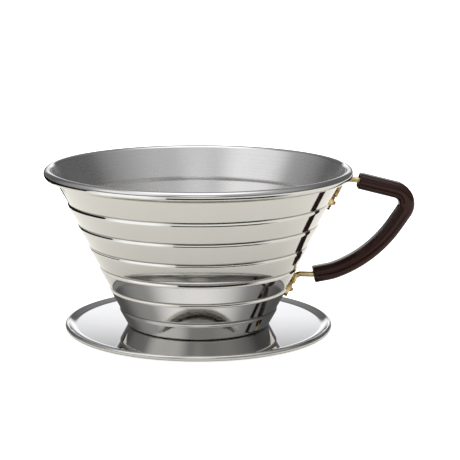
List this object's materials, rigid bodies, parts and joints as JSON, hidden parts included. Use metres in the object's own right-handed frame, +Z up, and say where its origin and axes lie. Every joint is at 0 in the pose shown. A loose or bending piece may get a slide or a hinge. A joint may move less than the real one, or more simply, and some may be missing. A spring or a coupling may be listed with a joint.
{
  "type": "pour over dripper",
  "caption": "Stepped conical steel coffee dripper with a curled rim, flat bottom, wide drip saucer and a riveted brass-rod handle with a dark grip.",
  "frame": {"origin": "on the cup's axis, at the foot of the locating collar, which is the lowest point and the natural resting plane", "axes": "+Z up along the cup's axis, +X from the axis towards the handle, whose rod lies in the XZ plane"},
  "size_m": [0.1406, 0.117, 0.0658],
  "materials": {
    "polished_steel": "mirror-polished 18-8 stainless steel sheet, satin inside the cup",
    "satin_steel": "satin 18-8 stainless steel sheet",
    "weld_steel": "fused stainless steel of a spot weld",
    "brass": "drawn and polished brass rod with flattened ends",
    "grip_resin": "glossy dark brown moulded resin",
    "rivet_steel": "tumbled stainless steel rivet"
  },
  "bodies": {
    "root": {"dripper_cup": "polished_steel", "drip_saucer": "polished_steel", "locating_collar": "satin_steel", "cup_spot_welds": "weld_steel", "collar_spot_welds": "weld_steel", "handle_rod": "brass", "handle_grip": "grip_resin", "upper_rivet": "rivet_steel", "lower_rivet": "rivet_steel"}
  },
  "joints": []
}
